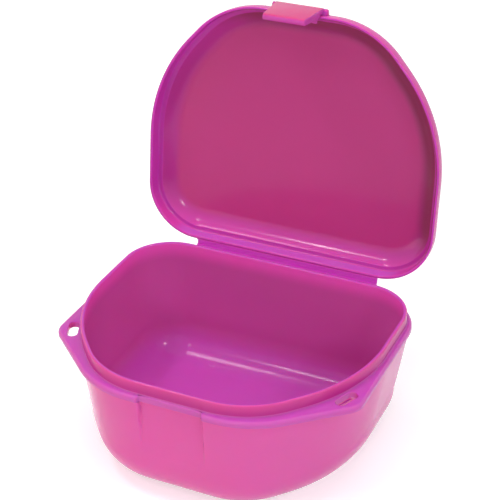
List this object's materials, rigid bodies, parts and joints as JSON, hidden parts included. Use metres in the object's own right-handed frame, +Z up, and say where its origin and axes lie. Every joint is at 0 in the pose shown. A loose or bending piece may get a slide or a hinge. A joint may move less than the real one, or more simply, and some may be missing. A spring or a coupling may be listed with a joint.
{
  "type": "hinged mouthguard case",
  "caption": "Moulded D-shaped pocket case with a tub, a lid on a double film hinge strap, a snap latch tab and lanyard ears.",
  "frame": {"origin": "middle of the tub's flat underside, under the middle of the rim", "axes": "+Z up, +X to the right seen from the latch side, +Y toward the hinge"},
  "size_m": [0.0842, 0.0846, 0.1064],
  "materials": {
    "tub_plastic": "semi-gloss translucent moulded polypropylene",
    "film_plastic": "thin stress-lightened fold in the moulding",
    "strap_plastic": "semi-gloss translucent moulded polypropylene",
    "lid_plastic": "semi-gloss translucent moulded polypropylene",
    "latch_plastic": "semi-gloss translucent moulded polypropylene"
  },
  "bodies": {
    "tub": {"tub": "tub_plastic"},
    "strap": {"strap": "strap_plastic", "film_lower": "film_plastic", "film_upper": "film_plastic"},
    "lid": {"lid": "lid_plastic"},
    "latch": {"latch": "latch_plastic"}
  },
  "joints": [
    {"name": "strap_fold", "type": "hinge", "parent": "tub", "child": "strap", "pos_m": [0, 0.0362, 0.03], "axis": [-1, 0, 0], "range_deg": [-14.51, 12.4], "stiffness_Nm_per_rad": 0.02},
    {"name": "lid_fold", "type": "hinge", "parent": "strap", "child": "lid", "pos_m": [0, 0.03721, 0.03392], "axis": [-1, 0, 0], "range_deg": [-82, 70], "stiffness_Nm_per_rad": 0.012},
    {"name": "latch_flex", "type": "hinge", "parent": "lid", "child": "latch", "pos_m": [0, 0.0445, 0.1054], "axis": [-1, 0, 0], "range_deg": [0, 8], "stiffness_Nm_per_rad": 0.3}
  ],
  "couplings": [
    {"joint": "strap_fold", "follows": "lid_fold", "ratio": 0.17683}
  ]
}
